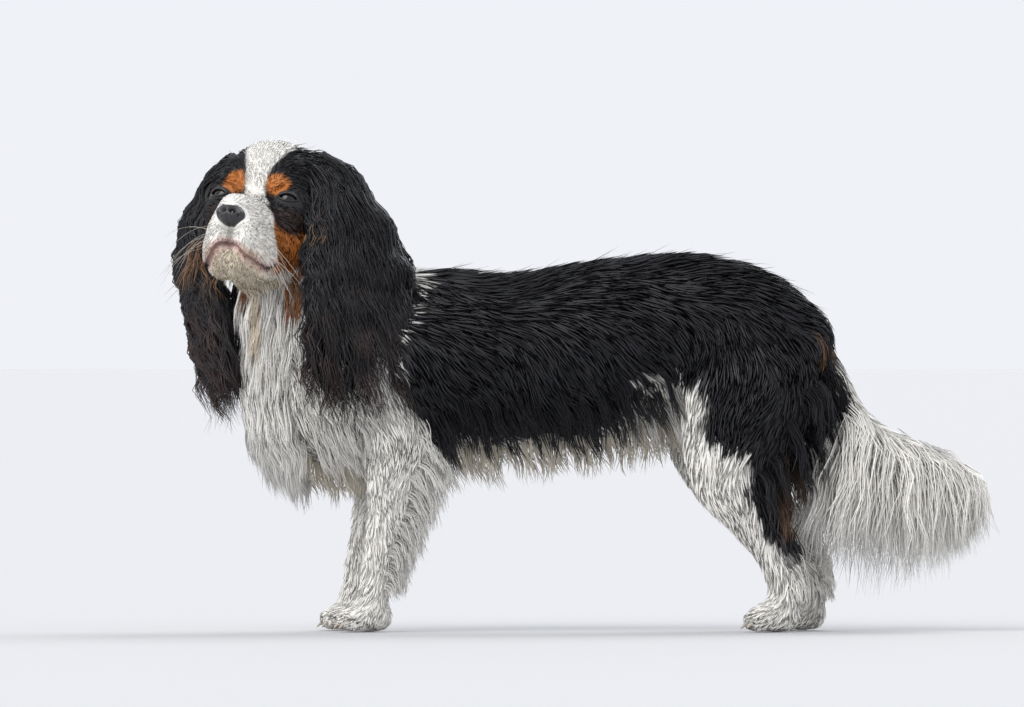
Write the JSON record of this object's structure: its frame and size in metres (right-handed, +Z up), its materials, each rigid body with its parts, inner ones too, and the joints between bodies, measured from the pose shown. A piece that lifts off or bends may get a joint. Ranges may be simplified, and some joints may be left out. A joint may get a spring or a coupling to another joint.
{
  "type": "model dog, spaniel",
  "caption": "Life-size still model of a tricolour Cavalier King Charles spaniel, standing with its head turned and lifted.",
  "frame": {"origin": "on the floor, under the middle of the dog's bounding box", "axes": "+X from the head to the tail, +Y to the dog's right, +Z up"},
  "size_m": [0.6888, 0.1758, 0.4181],
  "materials": {
    "face_coat": "short flat fur, white blaze and muzzle, black and tan patches",
    "body_coat": "silky coat with a soft sheen, black saddle over a white underside",
    "white_coat": "long silky white hair",
    "ear_coat": "long wavy hair, black going to dark brown",
    "nose_leather": "moist, fine pebbled skin",
    "eye": "dark brown, wet and glossy"
  },
  "bodies": {
    "root": {"head": "face_coat", "nose": "nose_leather", "left_eye": "eye", "right_eye": "eye", "torso": "body_coat", "neck": "white_coat", "tail": "white_coat", "left_foreleg": "white_coat", "right_foreleg": "white_coat", "left_hind_leg": "white_coat", "right_hind_leg": "white_coat", "left_ear": "ear_coat", "right_ear": "ear_coat"}
  },
  "joints": []
}
